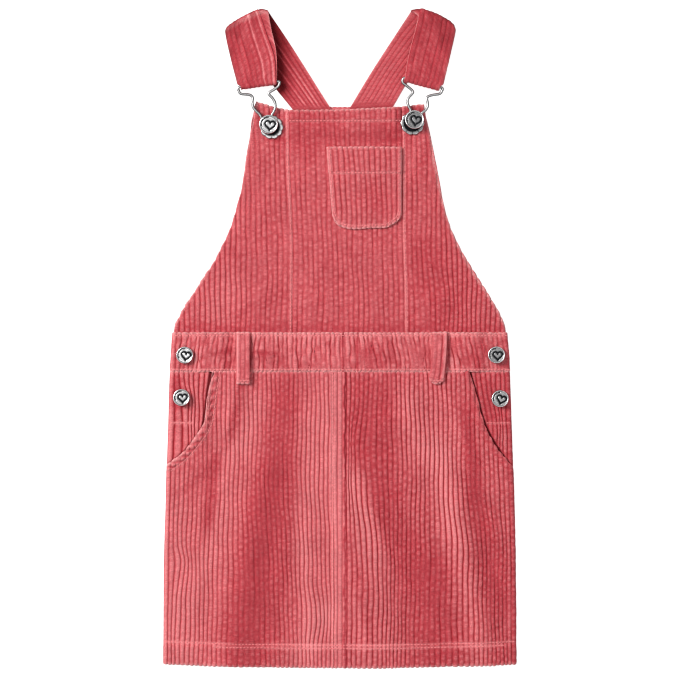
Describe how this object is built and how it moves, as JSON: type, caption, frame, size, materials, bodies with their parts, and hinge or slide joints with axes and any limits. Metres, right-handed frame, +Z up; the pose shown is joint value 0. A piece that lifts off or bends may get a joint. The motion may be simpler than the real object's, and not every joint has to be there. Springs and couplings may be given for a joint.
{
  "type": "pinafore dress",
  "caption": "Child's corduroy pinafore dress laid flat, front up, with folded-over buckled straps, a chest pocket, hip pockets, belt loops and metal buttons.",
  "frame": {"origin": "on the surface the dress lies on, under the middle of its bounding box", "axes": "+Y from the hem towards the straps, +Z up out of the dress's front, +X to the right as seen from the front"},
  "size_m": [0.325, 0.6069, 0.0109],
  "materials": {
    "corduroy": "ribbed cotton corduroy, soft pile, coral red",
    "metal": "antique silver plating, dark in the recesses"
  },
  "bodies": {
    "root": {"bib_centre": "corduroy", "bib_side_left": "corduroy", "bib_side_right": "corduroy", "bib_pocket": "corduroy", "waistband_front": "corduroy", "skirt_front_left": "corduroy", "skirt_front_right": "corduroy", "pocket_facing_left": "corduroy", "pocket_facing_right": "corduroy", "belt_loop_left": "corduroy", "belt_loop_right": "corduroy", "strap_left": "corduroy", "strap_right": "corduroy", "bib_back": "corduroy", "waistband_back": "corduroy", "skirt_back": "corduroy", "buckle_left": "metal", "buckle_right": "metal", "bib_button_left": "metal", "bib_button_right": "metal", "button_base_left": "metal", "button_base_right": "metal", "side_button_upper_left": "metal", "side_button_lower_left": "metal", "side_button_upper_right": "metal", "side_button_lower_right": "metal"}
  },
  "joints": []
}
